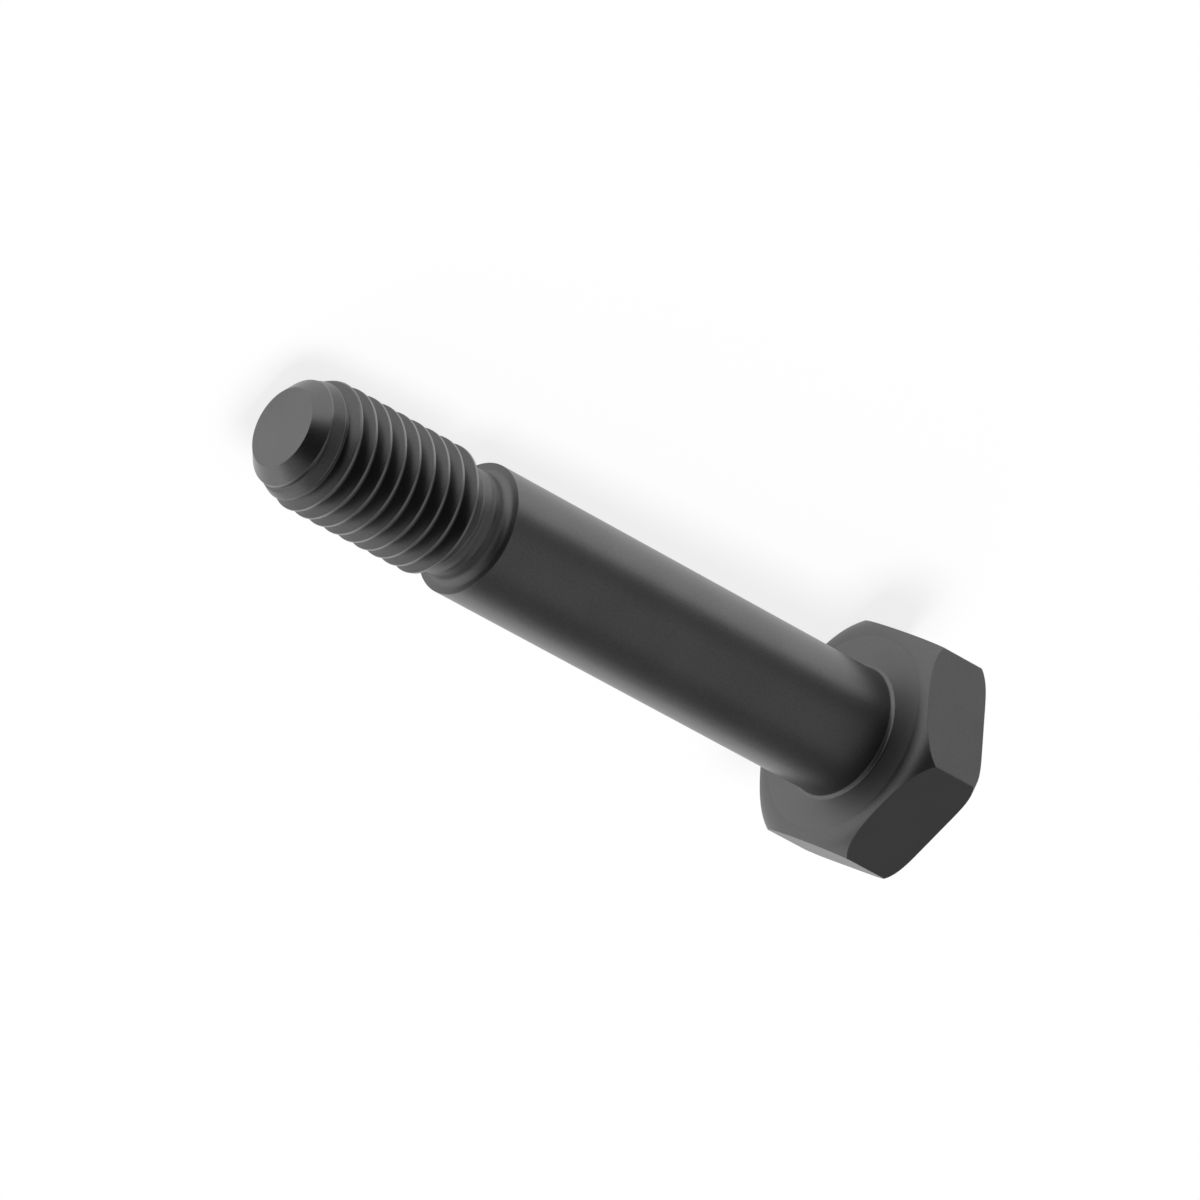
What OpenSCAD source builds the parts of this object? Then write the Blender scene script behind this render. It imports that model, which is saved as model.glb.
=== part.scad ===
// Hexagon fit bolt: a plain ground shank in a reamed hole, a reduced thread beyond a short neck.
// It lies on its side as it comes to rest, on one flat of the head and on the first full turn of the thread.
// All sizes are in millimetres.

/* [Thread] */
// Outer diameter of the thread
thread_d = 12; // [11:0.25:12]
// Rise of the thread in one turn
thread_pitch = 1.75; // [1.25:0.25:2]
// Threaded end of the bolt, from the tip's face to the shank, neck included
threaded_end_len = 22.5; // [20:0.5:30]
// Length over which the first turn grows out of the core to its full height
lead_in_len = 2.4; // [1:0.1:4]
// Where a crest lies round the bolt, in degrees from the underside
thread_clock = 22; // [0:1:359]

/* [Tip] */
// Diameter of the flat face at the tip
tip_face_d = 7.5; // [6:0.25:8.5]

/* [Neck] */
// Diameter of the neck between thread and shank
neck_d = 10.1; // [10.05:0.05:10.4]
// Length of the neck
neck_len = 3.15; // [2:0.05:5]
// Radius in the corner between neck and shank
neck_fillet_r = 0.75; // [0.2:0.05:0.9]

/* [Shank] */
// Diameter of the ground shank
shank_d = 12.5; // [12.4:0.1:13]
// Length under the head, from the tip's face to the bearing face
bolt_len = 70; // [50:1:100]
// Radius in the corner under the head
head_fillet_r = 0.4; // [0.2:0.05:0.8]

/* [Head] */
// Width across the flats
head_af = 21; // [19:0.5:24]
// Height of the head
head_h = 7.5; // [6:0.5:9]
// How far the edge of the bearing face lies inside the flats
bearing_face_inset = 1.1; // [0.8:0.1:1.6]
// How far the rounded rim of the bearing side has fallen back at the corners
bearing_rim_drop = 1.8; // [1:0.1:2]
// How far the edge of the top face would lie outside the flats
top_face_overhang = 0.35; // [0:0.05:0.5]
// How far the rounded rim of the top has fallen back at the corners
top_rim_drop = 0.8; // [0.4:0.1:0.9]

/* [Hidden] */
$fn = 96;

// A metric thread has a 60 degree profile, flat for an eighth of the pitch on the crest
// and for a sixth at the root.
crest_share = 1 / 8;
root_share = 1 / 6;
flank_share = (1 - crest_share - root_share) / 2;
thread_depth = flank_share * thread_pitch * tan(60);
thread_r = thread_d / 2;
root_r = thread_r - thread_depth;
turn_steps = 48;

// The turned ends stand this much proud of the thread's core, and hold this much of its length.
core_cover = 0.07;
core_lap = 0.15;

tip_face_r = tip_face_d / 2;
tip_collar_r = root_r + core_cover;
tip_chamfer_len = tip_collar_r - tip_face_r;
thread_start = tip_chamfer_len + core_lap;
thread_end = threaded_end_len - neck_len;

neck_r = neck_d / 2;
shank_r = shank_d / 2;
total_len = bolt_len + head_h;

flat_r = head_af / 2;
corner_r = flat_r / cos(30);
bearing_face_r = flat_r - bearing_face_inset;
top_face_r = flat_r + top_face_overhang;
bearing_rim_r = arc_radius(corner_r - bearing_face_r, bearing_rim_drop);
top_rim_r = arc_radius(corner_r - top_face_r, top_rim_drop);

// Radius of an arc that leaves a flat face level and has fallen by drop at a distance of reach.
function arc_radius(reach, drop) = (reach * reach + drop * drop) / (2 * drop);

// How far such an arc has fallen at a shorter distance.
function arc_drop(radius, reach) = radius - sqrt(radius * radius - reach * reach);

// Outer radius of the ridge at station z: it grows from the core at the tip
// and ends at 45 degrees where the neck begins.
function ridge_r(z) = max(root_r, min(
    thread_r,
    root_r + (z - thread_start) * thread_depth / lead_in_len,
    root_r + thread_end - z
));

// One turn in shares of the pitch, each with its share of the depth:
// both edges of the crest, then both edges of the root.
turn_profile = [
    [-crest_share / 2, 1],
    [crest_share / 2, 1],
    [crest_share / 2 + flank_share, 0],
    [1 - crest_share / 2 - flank_share, 0]
];
rows_per_turn = len(turn_profile);
first_turn = -3;
last_turn = ceil((thread_end - thread_start) / thread_pitch) + 1;
row_count = (last_turn - first_turn + 1) * rows_per_turn;

// Station of the profile point that row names, on the line at the given step round the core.
function helix_z(step, row) = thread_start + thread_pitch * (
    first_turn + floor(row / rows_per_turn) + turn_profile[row % rows_per_turn][0]
    + step / turn_steps + thread_clock / 360
);
function row_z(step, row) = min(thread_end + core_lap, max(thread_start - core_lap, helix_z(step, row)));
function row_r(step, row) = turn_profile[row % rows_per_turn][1] == 0 ? root_r : ridge_r(row_z(step, row));
function row_point(step, row) = let (a = 360 * step / turn_steps, r = row_r(step, row))
    [r * cos(a), r * sin(a), row_z(step, row)];

// After a full turn a row goes on as the same row of the next turn.
function row_index(step, row) = step < turn_steps
    ? step * row_count + row
    : min(row + rows_per_turn, row_count - 1);

// The lying bolt touches the floor at the rim of a flat, and near the tip
// at the point that lets it tilt least.
rim_station = bolt_len + arc_drop(bearing_rim_r, bearing_face_inset);
touch_points = concat(
    [[threaded_end_len, shank_r], [0, tip_face_r]],
    [for (row = [0:row_count - 1]) [row_z(0, row), row_r(0, row)]]
);
rest_tilt = min([for (p = touch_points) atan2(flat_r - p[1], rim_station - p[0])]);
tip_height = flat_r * cos(rest_tilt) - rim_station * sin(rest_tilt);
reach_back = tip_face_r * sin(rest_tilt);
reach_ahead = total_len * cos(rest_tilt) + flat_r * sin(rest_tilt);

// The thread: rows of points that follow a right-hand helix, closed by a flat polygon at each end.
module thread() {
    points = [
        for (step = [0:turn_steps - 1])
            for (row = [0:row_count - 1])
                row_point(step, row)
    ];
    cells = [
        for (step = [0:turn_steps - 1])
            for (row = [0:row_count - 2])
                let (
                    here = row_index(step, row),
                    here_up = row_index(step, row + 1),
                    next = row_index(step + 1, row),
                    next_up = row_index(step + 1, row + 1)
                )
                each [
                    if (points[next] != points[next_up]) [here, next_up, next],
                    if (points[here] != points[here_up]) [here, here_up, next_up]
                ]
    ];
    tip_cap = [for (step = [0:turn_steps - 1]) row_index(step, 0)];
    neck_cap = [for (step = [turn_steps - 1:-1:0]) row_index(step, row_count - 1)];
    polyhedron(points = points, faces = concat(cells, [tip_cap, neck_cap]));
}

// Half section of a concave corner: a square of side r less the round of the tool, its corner at the origin.
module corner_section(r) {
    difference() {
        square(r);
        translate([r, 0]) circle(r);
    }
}

// Tip: a flat face with a chamfer at 45 degrees down to the core of the thread.
module tip() {
    rotate_extrude() polygon([
        [0, 0],
        [tip_face_r, 0],
        [tip_collar_r, tip_chamfer_len],
        [tip_collar_r, thread_start],
        [0, thread_start]
    ]);
}

// Neck and shank, turned in one piece, with a fillet at the foot of each step.
module shank() {
    rotate_extrude() {
        translate([0, thread_end]) square([neck_r, neck_len]);
        translate([neck_r, threaded_end_len - neck_fillet_r]) corner_section(neck_fillet_r);
        translate([0, threaded_end_len]) square([shank_r, bolt_len + head_h / 2 - threaded_end_len]);
        translate([shank_r, bolt_len - head_fillet_r]) corner_section(head_fillet_r);
    }
}

// What the rounded rim takes off a square edge: outside the arc that starts at face_r,
// towards +Y from a face at y = 0.
module rim_waste(face_r, rim_r) {
    difference() {
        translate([face_r, -1]) square([corner_r - face_r + 1, rim_r + 1]);
        translate([face_r, rim_r]) circle(rim_r);
    }
}

// Head: a hexagon inside a turned shape whose rims round off its corners on both sides.
module head() {
    translate([0, 0, bolt_len]) intersection() {
        rotate([0, 0, 30]) cylinder(h = head_h, r = corner_r, $fn = 6);
        rotate_extrude() difference() {
            square([corner_r + 0.5, head_h]);
            rim_waste(bearing_face_r, bearing_rim_r);
            translate([0, head_h]) mirror([0, 1]) rim_waste(top_face_r, top_rim_r);
        }
    }
}

module hex_fit_bolt() {
    color([0.2, 0.2, 0.21])
        translate([(reach_back - reach_ahead) / 2, 0, tip_height])
            rotate([0, 90 - rest_tilt, 0]) {
                tip();
                thread();
                shank();
                head();
            }
}

hex_fit_bolt();
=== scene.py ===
import math

import bmesh
import bpy
import numpy as np
from mathutils import Matrix, Vector


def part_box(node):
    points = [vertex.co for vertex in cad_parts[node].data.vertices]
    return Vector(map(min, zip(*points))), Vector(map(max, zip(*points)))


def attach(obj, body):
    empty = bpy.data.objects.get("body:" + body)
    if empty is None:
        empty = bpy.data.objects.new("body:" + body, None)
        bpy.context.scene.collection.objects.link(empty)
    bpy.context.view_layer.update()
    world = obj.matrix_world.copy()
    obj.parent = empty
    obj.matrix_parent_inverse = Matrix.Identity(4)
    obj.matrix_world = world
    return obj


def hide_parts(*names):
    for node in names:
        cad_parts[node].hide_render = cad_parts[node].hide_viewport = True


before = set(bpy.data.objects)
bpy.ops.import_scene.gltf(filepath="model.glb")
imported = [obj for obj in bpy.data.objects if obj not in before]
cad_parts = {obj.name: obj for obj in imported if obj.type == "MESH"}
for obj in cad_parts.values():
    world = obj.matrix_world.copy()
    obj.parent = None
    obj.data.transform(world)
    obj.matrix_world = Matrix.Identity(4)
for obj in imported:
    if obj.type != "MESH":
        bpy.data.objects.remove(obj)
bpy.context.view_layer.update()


# How the bolt lies: on one flat of the head and on the first full turn of the thread, so it leans down to the tip.
# The bolt is worked out upright in millimetres, tip down, and then laid over this way. Each point where it touches
# is given by its station, counted from the face of the tip, and its radius.
flat_r = 10.5
thread_r = 6.0
rim_touch = (70.2118, flat_r)
thread_touch = (4.894, thread_r)
lean = math.atan2(rim_touch[1] - thread_touch[1], rim_touch[0] - thread_touch[0])
tip_height = rim_touch[1] * math.cos(lean) - rim_touch[0] * math.sin(lean)
tip_face_r = 3.75
tip_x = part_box("hex_fit_bolt")[0].x * 1000 + tip_face_r * math.sin(lean)


def laid_down(station, radius, angle):
    """Metres in the room from millimetres on the bolt. Angle 0 is the underside: the axis goes along
    (cos lean, 0, sin lean), the underside looks along (sin lean, 0, -cos lean), and 90 degrees is +Y."""
    down = radius * np.cos(angle)
    x = tip_x + station * math.cos(lean) + down * math.sin(lean)
    y = radius * np.sin(angle) + 0 * station
    z = tip_height + station * math.sin(lean) - down * math.cos(lean)
    return np.stack([x, y, z], axis=-1) / 1000


# The lines that run along the bolt: one every two degrees, and closer ones where the six corners of the head
# are rounded, so that one grid carries the round parts and the hexagon alike.
even_lines = np.arange(0, 360, 2.0)
corner_lines = np.arange(30, 360, 60)[:, None] + np.array([-0.8, -0.3, -0.2, -0.1, 0.1, 0.2, 0.3, 0.8])
around = np.radians(np.unique(np.concatenate([even_lines, corner_lines.ravel()])))
lines = len(around)


def softened(stations, radii, reaches=None):
    """Rows along a turned profile with its inner corners broken. Each corner c is cut back by its reach to a and b
    and bridged by the parabola (1-t)^2 a + 2t(1-t) c + t^2 b; a guard row a little before a and after b keeps
    the neighbouring faces flat. Neither goes past the middle of a side. Without reaches the corners stay as they
    are. Stations and radii may change from line to line."""
    at = np.stack([np.stack([z + 0 * around, r + 0 * around]) for z, r in zip(stations, radii)])
    rows = [at[0]]
    longest_cut, longest_guard = 0.45, 0.48
    for i in range(1, len(at) - 1):
        cut = reaches[i - 1] if reaches else 0
        if cut == 0:
            rows.append(at[i])
            continue
        guard = 1.5 * cut
        back, ahead = at[i - 1] - at[i], at[i + 1] - at[i]
        back_len = np.maximum(np.hypot(*back), 1e-9)
        ahead_len = np.maximum(np.hypot(*ahead), 1e-9)
        a = at[i] + back * np.minimum(cut / back_len, longest_cut)
        b = at[i] + ahead * np.minimum(cut / ahead_len, longest_cut)
        rows.append(at[i] + back * np.minimum(guard / back_len, longest_guard))
        for t in (0, 0.25, 0.5, 0.75, 1):
            rows.append((1 - t) ** 2 * a + 2 * t * (1 - t) * at[i] + t * t * b)
        rows.append(at[i] + ahead * np.minimum(guard / ahead_len, longest_guard))
    rows.append(at[-1])
    return np.array(rows)


def skin(rows, turn_shift=0):
    """Corner points and four-sided faces of a grid of rows round the bolt. The last line joins the first;
    on a thread it joins the row that is one turn further on."""
    count = len(rows)
    points = laid_down(rows[:, 0], rows[:, 1], around[None, :])
    row, line = np.meshgrid(np.arange(count - 1), np.arange(lines), indexing="ij")
    shift = np.where(line == lines - 1, turn_shift, 0)
    low = np.minimum(row + shift, count - 1)
    high = np.minimum(row + 1 + shift, count - 1)
    next_line = (line + 1) % lines
    faces = np.stack([row * lines + line, (row + 1) * lines + line, high * lines + next_line,
                      low * lines + next_line], axis=-1)
    return points.reshape(-1, 3), faces.reshape(-1, 4)


# Tip: the end of the rod, turned flat and chamfered at 45 degrees before the thread is rolled. The collar behind
# the chamfer stands a little proud of the thread's root.
collar_r = 4.9965
root_r = 4.9265
thread_start = 1.3965
tip_ring_r = 1.8
face_break, chamfer_break = 0.025, 0.03
tip_rows = softened(
    [0, 0, 0, collar_r - tip_face_r, thread_start],
    [0, tip_ring_r, tip_face_r, collar_r, collar_r],
    [0, face_break, chamfer_break])

# Neck: turned below the thread, a little thinner than the blank and falling slightly towards the shank. The rolling
# dies ran out over it and left soft crescents, each given by its height, station, length, middle angle and spread.
neck_r = 5.05
neck_start = 19.35
neck_end = 22.5
neck_fillet = 0.75
neck_fall = 0.04
fall_start = 20.6
fall_len = 1.2
neck_marks = ((0.14, 19.5, 0.15, 146, 30), (0.08, 20.35, 0.26, 112, 17), (0.09, 20.3, 0.28, 196, 20),
              (0.05, 20.9, 0.20, 131, 15), (0.05, 20.9, 0.18, 172, 15), (0.04, 20.1, 0.15, 160, 18),
              (0.06, 19.9, 0.20, 20, 25), (0.07, 20.6, 0.25, 320, 22), (0.06, 20.2, 0.20, 260, 18))


def crescent(z, angle, place, length, middle, spread):
    """exp(-(dz / length)^2) * exp(-(da / spread)^2), with dz and da the station and the angle from its middle."""
    away = (np.degrees(angle) - middle + 180) % 360 - 180
    return np.exp(-((z - place) / length) ** 2 - (away / spread) ** 2)


def neck_radius(z, angle):
    """neck_r - neck_fall * (3 f^2 - 2 f^3), with f the way along the fall, and height * crescent for each mark."""
    fall = np.clip((z - fall_start) / fall_len, 0, 1)
    radius = neck_r - neck_fall * fall * fall * (3 - 2 * fall) + 0 * angle
    return radius + sum(height * crescent(z, angle, *where) for height, *where in neck_marks)


# Thread: rolled between dies, M12 with a pitch of 1.75 mm, right-hand. Crests and roots are rounded. Its first turn
# is cut by the cone of the lead-in, which reaches the full height after lead_in, and its last turn runs out at
# 45 degrees into the neck.
pitch = 1.75
clock = 22 / 360
lead_in = 2.4
crest_round = 0.05
cut_round = 0.06
root_round = 0.12
low_ridge = 0.3
core_flare = 0.6
core_rise = 1.2
# Rubbing and its painted highlight stop this far from both ends of the thread.
highlight_margin = 0.1


def ridge_side(centre, way):
    """One side of the ridge, from its crest down into the root: stations, shares of the full height, and how much it
    is rubbed and painted lighter as a highlight. centre is the station of the crest, way is 1 towards the neck and -1
    towards the tip. The flank is cut where it meets the cone of the lead-in: share = (centre + way * base - start) /
    (lead_in + way * flank).
    The corners are rounded by parabolas that leave them by crest_round at the crest, by cut_round more where it
    is cut, and by root_round at the root, and by less where the ridge is lower than the share low_ridge. The
    full crest is rubbed and painted lighter as a highlight, and so is a cut crest on its side towards the neck."""
    depth, half_crest, half_root = thread_r - root_r, pitch / 16, pitch / 12
    flank = pitch / 2 - half_crest - half_root
    sine, cosine = depth / math.hypot(depth, flank), flank / math.hypot(depth, flank)
    cut = np.clip((centre + way * (half_crest + flank) - thread_start) / (lead_in + way * flank), 0, 1)
    room = np.clip(cut / low_ridge, 0, 1)
    # Painted highlight along with rubbing: full on a whole crest, and on a cut crest's side towards the neck.
    full = np.clip(cut * 10 - 9, 0, 1)
    bend = (crest_round + cut_round * np.clip((1 - cut) / low_ridge, 0, 1)) * room
    cut_highlight = room if way > 0 else full
    none = 0 * cut
    land = np.where(cut < 1, -way * depth / lead_in, 0)
    corner, foot = (half_crest + flank * (1 - cut), cut * depth), (half_crest + flank + 0 * cut, 0 * cut)
    stations, shares, rub_highlight = [], [], []
    for at, before, after, marks in (
            (corner, (-bend, bend * land), (bend * cosine, -bend * sine), (full, cut_highlight, cut_highlight, none)),
            (foot, (-root_round * room * cosine, root_round * room * sine), (root_round, 0), (none,) * 4)):
        for t, highlight_share in zip((0, 1 / 3, 2 / 3, 1), marks):
            stations.append(centre + way * (at[0] + (1 - t) ** 2 * before[0] + t * t * after[0]))
            shares.append((at[1] + (1 - t) ** 2 * before[1] + t * t * after[1]) / depth)
            rub_highlight.append(highlight_share)
    return np.array(stations), np.array(shares), np.array(rub_highlight)


def rolled_thread():
    """Rows that follow a right-hand helix: crest = start + pitch * (turn + angle / 360 + clock), and
    radius = floor + share * (envelope - floor). The envelope is the full ridge and the run-out at 45 degrees;
    the floor falls from the collar to the root over core_flare and rises to the neck over the last core_rise."""
    turns = np.arange(-3, math.ceil((neck_start - thread_start) / pitch) + 2)
    parts = []
    for turn in turns:
        centre = thread_start + pitch * (turn + around / (2 * np.pi) + clock)
        down, up = ridge_side(centre, 1), ridge_side(centre + pitch, -1)
        parts.append([np.concatenate([a, b[::-1]]) for a, b in zip(down, up)])
    z, share, rub_highlight = (np.concatenate(stack) for stack in zip(*parts))
    z = np.clip(z, thread_start, neck_start)
    foot = neck_radius(neck_start, around)[None, :]
    rise = np.clip((z - neck_start + core_rise) / core_rise, 0, 1)
    flare = np.clip((thread_start + core_flare - z) / core_flare, 0, 1)
    ground = root_r + (foot - root_r) * rise * rise * (3 - 2 * rise) + (collar_r - root_r) * flare * flare
    envelope = np.maximum(np.minimum(thread_r, foot + neck_start - z), ground)
    radius = ground + share * (envelope - ground)
    # Rubbed crests, painted lighter as a highlight, away from both ends of the thread.
    highlight_mask = rub_highlight * ((z > thread_start + highlight_margin) & (z < neck_start - highlight_margin))
    return np.stack([z, radius], axis=1), len(z) // len(turns), highlight_mask


thread_rows, rows_per_turn, thread_highlight_mask = rolled_thread()

# Shank: ground to its fit, with a sharp edge at its end. A fillet fills the corner between the neck and the end of
# the shank, and another the corner between the shank and the head.
shank_r = 6.25
shank_break = 0.03
shank_first = neck_end + 0.6
bearing = 70.0
head_fillet = 0.4


def hollow(centre, radius, start, stop, steps):
    """Rows of a concave fillet: points of a circle about centre (station, radius), from one angle to another."""
    angle = np.radians(np.linspace(start, stop, steps))
    return centre[0] + radius * np.cos(angle), centre[1] + radius * np.sin(angle)


neck_foot_r = neck_r - neck_fall
neck_z, neck_rad = hollow((neck_end - neck_fillet, neck_foot_r + neck_fillet), neck_fillet, -90, 0, 9)
foot_z, foot_rad = hollow((bearing - head_fillet, shank_r + head_fillet), head_fillet, -90, 0, 7)
along_neck = np.linspace(neck_start, neck_end - neck_fillet, 40)[:-1]
neck_rows = softened([*along_neck, *neck_z], [*(neck_radius(z, around) for z in along_neck), *neck_rad])
shoulder_rows = softened(
    [neck_end, neck_end, shank_first],
    [neck_foot_r + neck_fillet, shank_r, shank_r],
    [shank_break])
shank_rows = softened([shank_first, 35, 50, 65], [shank_r] * 4)
foot_rows = softened(foot_z, foot_rad)
turned_rows = np.concatenate([neck_rows, shoulder_rows[:-1]])
ground_rows = np.concatenate([shoulder_rows[-2:], shank_rows, foot_rows])

# Head: forged to a hexagon 21 mm across the flats, the bearing face turned flat. The rims on both sides are rounded:
# each leaves its face level at a radius and has fallen by its drop at the corners.
total_len = 77.5
corner_r = flat_r / math.cos(math.radians(30))
corner_round = 0.12
bearing_r, bearing_drop = 9.4, 1.8
top_r, top_drop = 10.85, 0.8
flat_breaks = [0.04, 0.05]
bearing_ring_r, top_ring_r = 8.0, 5.0
rim_lead = 0.4


def hexagon():
    """Radius of the hexagon on each line: flat_r / cos(angle from the nearest flat), with a circle of
    corner_round rolled into each corner: c cos(d) + sqrt(corner_round^2 - c^2 sin^2(d)), d from the corner."""
    from_corner = (around - np.radians(30)) % np.radians(60)
    d = np.minimum(from_corner, np.radians(60) - from_corner)
    c = corner_r - corner_round / math.cos(math.radians(30))
    tangent = math.atan2(0.5 * corner_round, c + math.cos(math.radians(30)) * corner_round)
    rolled = c * np.cos(d) + np.sqrt(np.maximum(corner_round ** 2 - (c * np.sin(d)) ** 2, 0))
    return np.where(d < tangent, rolled, flat_r / np.cos(np.radians(30) - d))


hex_r = hexagon()


def fallen(face_r, drop, reach):
    """How far a rounded rim has fallen at a reach outside face_r: the arc of the circle that leaves the face
    level and has fallen by drop at the corner."""
    span = corner_r - face_r
    rim = (span * span + drop * drop) / (2 * drop)
    return rim - np.sqrt(rim * rim - reach * reach)


low_reach = hex_r - bearing_r
high_edge = np.minimum(hex_r, top_r) - rim_lead
low_share = np.linspace(0, 1, 9)
high_share = np.linspace(0, 1, 6)
low_z = [bearing + fallen(bearing_r, bearing_drop, s * low_reach) for s in low_share]
low_rad = [bearing_r + s * low_reach for s in low_share]
high_rad = [high_edge + s * (hex_r - high_edge) for s in high_share[::-1]]
high_z = [total_len - fallen(top_r, top_drop, np.maximum(r - top_r, 0)) for r in high_rad]
head_rows = softened(
    [bearing, bearing, *low_z, *high_z, total_len, total_len],
    [shank_r + head_fillet, bearing_ring_r, *low_rad, *high_rad, top_ring_r, 0],
    [0] * len(low_z) + flat_breaks + [0] * len(high_z))

# The whole bolt is one closed skin. The blocks of rows meet on shared rings, so merging the doubles
# closes it, and the poles at both ends with it.
bearing_rows, forged_rows = head_rows[:3], head_rows[2:]
row_blocks = [tip_rows, thread_rows, turned_rows, ground_rows, bearing_rows, forged_rows]
turn_shifts = [0, rows_per_turn, 0, 0, 0, 0]
finish_of_block = [4, 0, 1, 2, 1, 3]
blocks = [skin(rows, turn_shift) for rows, turn_shift in zip(row_blocks, turn_shifts)]
starts = np.cumsum([0] + [len(corners) for corners, cells in blocks])
points = np.concatenate([corners for corners, cells in blocks])
faces = np.concatenate([cells + start for (corners, cells), start in zip(blocks, starts)])
finish = np.concatenate([np.full(len(cells), number) for (corners, cells), number in zip(blocks, finish_of_block)])
bolt_mesh = bpy.data.meshes.new("fit_bolt")
bolt_mesh.from_pydata(points, [], faces)
bolt_mesh.polygons.foreach_set("material_index", finish.astype(np.int32))
bolt_mesh.polygons.foreach_set("use_smooth", np.ones(len(faces), bool))

# Handling has rubbed the crests, the outer edge of the chamfer and the highest crescent on the neck, and these are
# painted lighter than the coat as painted highlights. The edge of the chamfer is the middle three rows of the tip's
# last broken corner.
chamfer_highlight, neck_highlight = 0.8, 0.9
thread_first = len(tip_rows)
neck_first = thread_first + len(thread_rows)
highlight_mask = np.zeros((sum(len(rows) for rows in row_blocks), lines))
highlight_mask[thread_first - 6:thread_first - 3] = chamfer_highlight
highlight_mask[thread_first:neck_first] = thread_highlight_mask
for i, z in enumerate(along_neck):
    highlight_mask[neck_first + i] = neck_highlight * crescent(z, around, *neck_marks[0][1:])
# Stored on the points: a mask of painted highlight as well as rubbing.
highlight_layer = bolt_mesh.attributes.new("rub_highlight", "FLOAT", "POINT")
highlight_layer.data.foreach_set("value", highlight_mask.ravel().astype(np.float32))

merging = bmesh.new()
merging.from_mesh(bolt_mesh)
bmesh.ops.remove_doubles(merging, verts=merging.verts, dist=2e-8)
bmesh.ops.dissolve_degenerate(merging, dist=1e-8, edges=merging.edges)
bmesh.ops.recalc_face_normals(merging, faces=merging.faces)
merging.to_mesh(bolt_mesh)
merging.free()
fit_bolt = bpy.data.objects.new("fit_bolt", bolt_mesh)
bpy.context.scene.collection.objects.link(fit_bolt)


# Finish: black oxide on steel, satin and slightly uneven. The same coat lies on a cut tip, a rolled thread, turned
# faces, a ground shank and a forged head, and each keeps the marks of how it was made.
grain_share = 0.75
rough_spread = 0.04
# The colour of rubbed places: bare steel that also stands in for a painted highlight.
rub_highlight_steel = (0.26, 0.26, 0.262, 1)


def node_group(name, takes, gives):
    """An empty shader node group with named inputs and outputs."""
    group = bpy.data.node_groups.new(name, "ShaderNodeTree")
    for label, kind in takes:
        group.interface.new_socket(label, in_out="INPUT", socket_type=kind)
    for label, kind in gives:
        group.interface.new_socket(label, in_out="OUTPUT", socket_type=kind)
    return group, group.nodes.new("NodeGroupInput"), group.nodes.new("NodeGroupOutput")


def add(tree, kind, **settings):
    """A node of a kind, with its properties set."""
    made = tree.nodes.new(kind)
    for key, value in settings.items():
        setattr(made, key, value)
    return made


def oxide_grain():
    """Fine grain and wide clouds of a black oxide coat. Position is in millimetres."""
    group, taken, given = node_group(
        "oxide_grain", [("Position", "NodeSocketVector"), ("Grains per mm", "NodeSocketFloat")],
        [("Grain", "NodeSocketFloat"), ("Cloud", "NodeSocketFloat")])
    grain = add(group, "ShaderNodeTexNoise")
    grain.inputs["Detail"].default_value = 3
    grain.inputs["Roughness"].default_value = 0.7
    cloud = add(group, "ShaderNodeTexNoise")
    cloud.inputs["Scale"].default_value = 0.16
    cloud.inputs["Detail"].default_value = 2
    link = group.links.new
    link(taken.outputs["Position"], grain.inputs["Vector"])
    link(taken.outputs["Grains per mm"], grain.inputs["Scale"])
    link(taken.outputs["Position"], cloud.inputs["Vector"])
    link(grain.outputs["Fac"], given.inputs["Grain"])
    link(cloud.outputs["Fac"], given.inputs["Cloud"])
    return group


def cutter_lines():
    """Marks that a tool leaves round the bolt: noise of (distance from the axis, station), so that they are
    rings on a face and on a cylinder alike."""
    group, taken, given = node_group(
        "cutter_lines", [("Position", "NodeSocketVector"), ("Lines per mm", "NodeSocketFloat")],
        [("Lines", "NodeSocketFloat")])
    split = add(group, "ShaderNodeSeparateXYZ")
    x_square = add(group, "ShaderNodeMath", operation="MULTIPLY")
    y_square = add(group, "ShaderNodeMath", operation="MULTIPLY")
    total = add(group, "ShaderNodeMath", operation="ADD")
    distance = add(group, "ShaderNodeMath", operation="SQRT")
    join = add(group, "ShaderNodeCombineXYZ")
    noise = add(group, "ShaderNodeTexNoise", noise_dimensions="2D")
    noise.inputs["Detail"].default_value = 2
    link = group.links.new
    link(taken.outputs["Position"], split.inputs[0])
    for out, square in (("X", x_square), ("Y", y_square)):
        link(split.outputs[out], square.inputs[0])
        link(split.outputs[out], square.inputs[1])
    link(x_square.outputs[0], total.inputs[0])
    link(y_square.outputs[0], total.inputs[1])
    link(total.outputs[0], distance.inputs[0])
    link(distance.outputs[0], join.inputs["X"])
    link(split.outputs["Z"], join.inputs["Y"])
    link(join.outputs[0], noise.inputs["Vector"])
    link(taken.outputs["Lines per mm"], noise.inputs["Scale"])
    link(noise.outputs["Fac"], given.inputs["Lines"])
    return group


grain_group = oxide_grain()
lines_group = cutter_lines()


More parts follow.
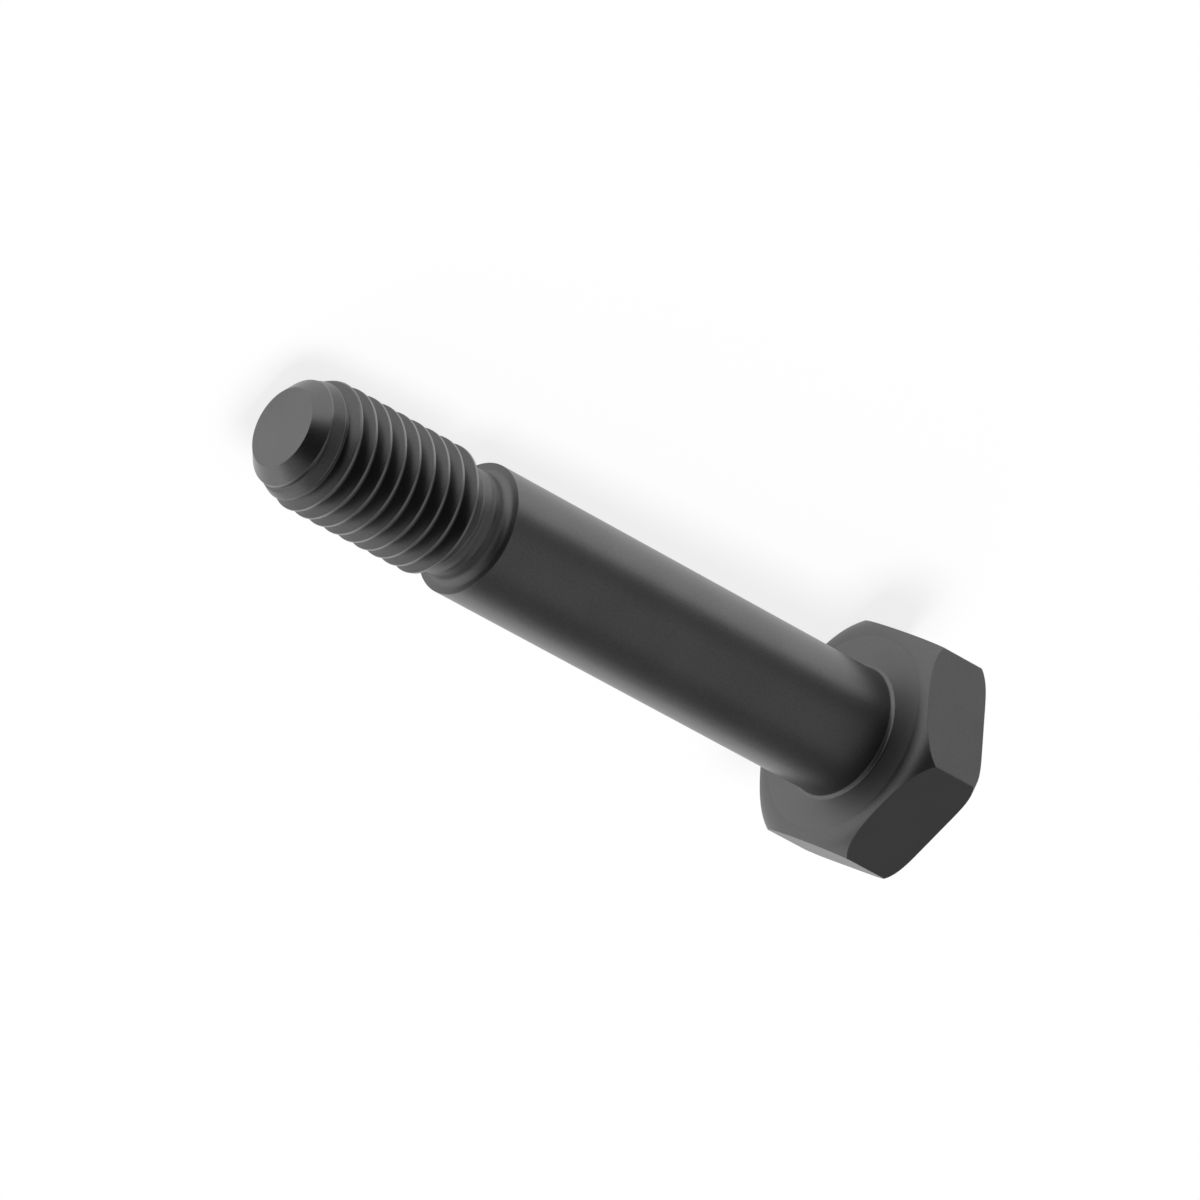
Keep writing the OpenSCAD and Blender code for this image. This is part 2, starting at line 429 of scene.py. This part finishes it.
def black_oxide(name, dark, light, rough, grains, grain_height, lines_per_mm, line_height):
    """Satin black oxide: metal whose colour goes from dark to light with grain and clouds and to a lighter steel
    where it is rubbed and painted with a highlight, whose roughness follows the grain, and whose bump adds grain and
    tool marks, both in millimetres of height."""
    material = bpy.data.materials.new(name)
    material.use_nodes = True
    tree = material.node_tree
    steel = tree.nodes["Principled BSDF"]
    steel.inputs["Metallic"].default_value = 1
    link = tree.links.new
    place = add(tree, "ShaderNodeTexCoord")
    upright = add(tree, "ShaderNodeMapping")
    turn = Matrix.Rotation(-(math.pi / 2 - lean), 3, "Y")
    centre = Vector((tip_x, 0, tip_height)) / 1000
    upright.inputs["Scale"].default_value = (1000, 1000, 1000)
    upright.inputs["Rotation"].default_value = turn.to_euler()
    upright.inputs["Location"].default_value = -(turn @ centre) * 1000
    link(place.outputs["Object"], upright.inputs["Vector"])
    grain = add(tree, "ShaderNodeGroup", node_tree=grain_group)
    grain.inputs["Grains per mm"].default_value = grains
    marks = add(tree, "ShaderNodeGroup", node_tree=lines_group)
    marks.inputs["Lines per mm"].default_value = lines_per_mm
    link(upright.outputs[0], grain.inputs["Position"])
    link(upright.outputs[0], marks.inputs["Position"])
    colour = add(tree, "ShaderNodeMix", data_type="RGBA")
    colour.inputs["A"].default_value = (*dark, 1)
    colour.inputs["B"].default_value = (*light, 1)
    speck = add(tree, "ShaderNodeMath", operation="MULTIPLY_ADD")
    speck.inputs[1].default_value = grain_share
    link(grain.outputs["Grain"], speck.inputs[0])
    cloud_part = add(tree, "ShaderNodeMath", operation="MULTIPLY")
    cloud_part.inputs[1].default_value = 1 - grain_share
    link(grain.outputs["Cloud"], cloud_part.inputs[0])
    link(cloud_part.outputs[0], speck.inputs[2])
    link(speck.outputs[0], colour.inputs["Factor"])
    # Painted highlight: where the attribute of rubbing is set, the colour goes to the lighter steel.
    rub_highlight = add(tree, "ShaderNodeAttribute", attribute_name="rub_highlight")
    highlit_mix = add(tree, "ShaderNodeMix", data_type="RGBA")
    highlit_mix.inputs["B"].default_value = rub_highlight_steel
    link(rub_highlight.outputs["Fac"], highlit_mix.inputs["Factor"])
    link(colour.outputs["Result"], highlit_mix.inputs["A"])
    link(highlit_mix.outputs["Result"], steel.inputs["Base Color"])
    satin = add(tree, "ShaderNodeMapRange")
    satin.inputs["To Min"].default_value = rough - rough_spread
    satin.inputs["To Max"].default_value = rough + rough_spread
    link(grain.outputs["Grain"], satin.inputs["Value"])
    link(satin.outputs["Result"], steel.inputs["Roughness"])
    heights = add(tree, "ShaderNodeMath", operation="MULTIPLY_ADD")
    heights.inputs[1].default_value = line_height / grain_height
    link(marks.outputs["Lines"], heights.inputs[0])
    link(grain.outputs["Grain"], heights.inputs[2])
    bump = add(tree, "ShaderNodeBump")
    bump.inputs["Distance"].default_value = grain_height / 1000
    link(heights.outputs[0], bump.inputs["Height"])
    link(bump.outputs["Normal"], steel.inputs["Normal"])
    return material


# Each finish gives its darkest and lightest colour, its roughness, grains per mm and their height, and tool marks per
# mm and their height. finish_of_block counts these lines from 0.
finishes = (
    ("rolled_thread", (0.07, 0.07, 0.072), (0.17, 0.17, 0.172), 0.36, 6, 0.0018, 6, 0.0006),
    ("turned_steel", (0.13, 0.13, 0.132), (0.225, 0.225, 0.227), 0.50, 5, 0.0016, 7, 0.0015),
    ("ground_shank", (0.085, 0.085, 0.087), (0.225, 0.225, 0.227), 0.36, 6, 0.0018, 9, 0.0005),
    ("forged_head", (0.105, 0.105, 0.107), (0.195, 0.195, 0.197), 0.42, 6, 0.0018, 5, 0.0003),
    ("cut_tip", (0.11, 0.11, 0.112), (0.20, 0.20, 0.202), 0.32, 5, 0.0014, 7, 0.0008))
for settings in finishes:
    bolt_mesh.materials.append(black_oxide(*settings))
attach(fit_bolt, "root")
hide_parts("hex_fit_bolt")


# Floor: a wide sheet of white studio paper. To the camera and the metal most of it glows evenly, and the rest of it
# keeps the bolt's soft shadow.
floor_r = 3
floor_sides = 96
evenly_lit = 0.8
ring = np.linspace(0, 2 * np.pi, floor_sides, endpoint=False)
floor_points = np.stack([floor_r * np.cos(ring), floor_r * np.sin(ring), 0 * ring], axis=-1)
floor_mesh = bpy.data.meshes.new("floor")
floor_mesh.from_pydata(floor_points, [], [np.arange(floor_sides)])
floor = bpy.data.objects.new("floor", floor_mesh)
bpy.context.scene.collection.objects.link(floor)
paper = bpy.data.materials.new("studio_paper")
paper.use_nodes = True
tree = paper.node_tree
tree.nodes.clear()
link = tree.links.new
seen = add(tree, "ShaderNodeLightPath")
either = add(tree, "ShaderNodeMath", operation="MAXIMUM")
glow = add(tree, "ShaderNodeEmission")
sheet = add(tree, "ShaderNodeBsdfDiffuse")
glow_share = add(tree, "ShaderNodeMath", operation="MULTIPLY")
both = add(tree, "ShaderNodeMixShader")
out = add(tree, "ShaderNodeOutputMaterial")
glow_share.inputs[1].default_value = evenly_lit
sheet.inputs["Color"].default_value = (0.9, 0.9, 0.9, 1)
glow.inputs["Color"].default_value = (1, 1, 1, 1)
glow.inputs["Strength"].default_value = 1.03
link(seen.outputs["Is Camera Ray"], either.inputs[0])
link(seen.outputs["Is Glossy Ray"], either.inputs[1])
link(either.outputs[0], glow_share.inputs[0])
link(glow_share.outputs[0], both.inputs["Fac"])
link(sheet.outputs[0], both.inputs[1])
link(glow.outputs[0], both.inputs[2])
link(both.outputs[0], out.inputs["Surface"])
floor_mesh.materials.append(paper)


# Studio: a dim grey sky over a bright horizon, shown to the camera as plain white, and one softbox straight above the
# bolt that the metal doesn't mirror. Patches of the sky are darker or brighter: azimuth, elevation, how far from the
# middle they are full and where they end, all in degrees, and how many times brighter they are.
sky_patches = (
    (156, 30, 26, 52, 0.04),
    (-92, 0, 25, 46, 3.0),
    (53, 12, 5, 25, 0.5),
    (-42, 38, 8, 26, 0.5))


def from_sky(azimuth, elevation):
    """Unit vector towards a point of the sky, azimuth counted from +X towards +Y."""
    a, e = math.radians(azimuth), math.radians(elevation)
    return Vector((math.cos(a) * math.cos(e), math.sin(a) * math.cos(e), math.sin(e)))


world = bpy.data.worlds.new("studio")
bpy.context.scene.world = world
world.use_nodes = True
tree = world.node_tree
tree.nodes.clear()
link = tree.links.new
look = add(tree, "ShaderNodeTexCoord")
split = add(tree, "ShaderNodeSeparateXYZ")
link(look.outputs["Generated"], split.inputs[0])
dome = add(tree, "ShaderNodeMapRange", interpolation_type="SMOOTHSTEP")
dome.inputs["From Min"].default_value = -0.03
dome.inputs["From Max"].default_value = 0.05
dome.inputs["To Min"].default_value = 1.0
dome.inputs["To Max"].default_value = 0.35
link(split.outputs["Z"], dome.inputs["Value"])
level = dome.outputs["Result"]
for azimuth, elevation, inner, outer, gain in sky_patches:
    towards = add(tree, "ShaderNodeVectorMath", operation="DOT_PRODUCT")
    towards.inputs[1].default_value = from_sky(azimuth, elevation)
    link(look.outputs["Generated"], towards.inputs[0])
    patch = add(tree, "ShaderNodeMapRange", interpolation_type="SMOOTHSTEP")
    patch.inputs["From Min"].default_value = math.cos(math.radians(outer))
    patch.inputs["From Max"].default_value = math.cos(math.radians(inner))
    patch.inputs["To Min"].default_value = 1
    patch.inputs["To Max"].default_value = gain
    link(towards.outputs["Value"], patch.inputs["Value"])
    times = add(tree, "ShaderNodeMath", operation="MULTIPLY")
    link(level, times.inputs[0])
    link(patch.outputs["Result"], times.inputs[1])
    level = times.outputs[0]
seen = add(tree, "ShaderNodeLightPath")
shown = add(tree, "ShaderNodeMix", data_type="FLOAT")
link(seen.outputs["Is Camera Ray"], shown.inputs["Factor"])
link(level, shown.inputs["A"])
shown.inputs["B"].default_value = 1
sky = add(tree, "ShaderNodeBackground")
link(shown.outputs["Result"], sky.inputs["Strength"])
out = add(tree, "ShaderNodeOutputWorld")
link(sky.outputs[0], out.inputs["Surface"])
sky.inputs["Color"].default_value = (1, 1, 1, 1)

softbox_light = bpy.data.lights.new("softbox", "AREA")
softbox_light.shape = "DISK"
softbox_light.size = 0.8
softbox_light.energy = 14.6
softbox = bpy.data.objects.new("softbox", softbox_light)
softbox.location = (0, 0, 1.4)
softbox.visible_glossy = False
bpy.context.scene.collection.objects.link(softbox)


# Camera: a long lens looking down on the bolt from the tip end, 0.86 m from its middle and turned about its own
# axis, so that the tip is at the upper left of the picture and the head at the lower right.
eye = (-0.557221, 0.282350, 0.599099)
focal_px, picture_px = 9722.344, 1200
right = Vector((0.6820584, 0.65173662, 0.33171633))
down = Vector((0.3389162, -0.68365322, 0.64633898))
forward = Vector((0.64802172, -0.32841689, -0.68717552))
lens = bpy.data.cameras.new("camera")
lens.sensor_width = 36
lens.lens = focal_px / picture_px * lens.sensor_width
camera = bpy.data.objects.new("camera", lens)
bpy.context.scene.collection.objects.link(camera)
camera.matrix_world = Matrix.Translation(eye) @ Matrix((right, -down, -forward)).transposed().to_4x4()
bpy.context.scene.camera = camera
bpy.context.scene.view_settings.view_transform = "Standard"
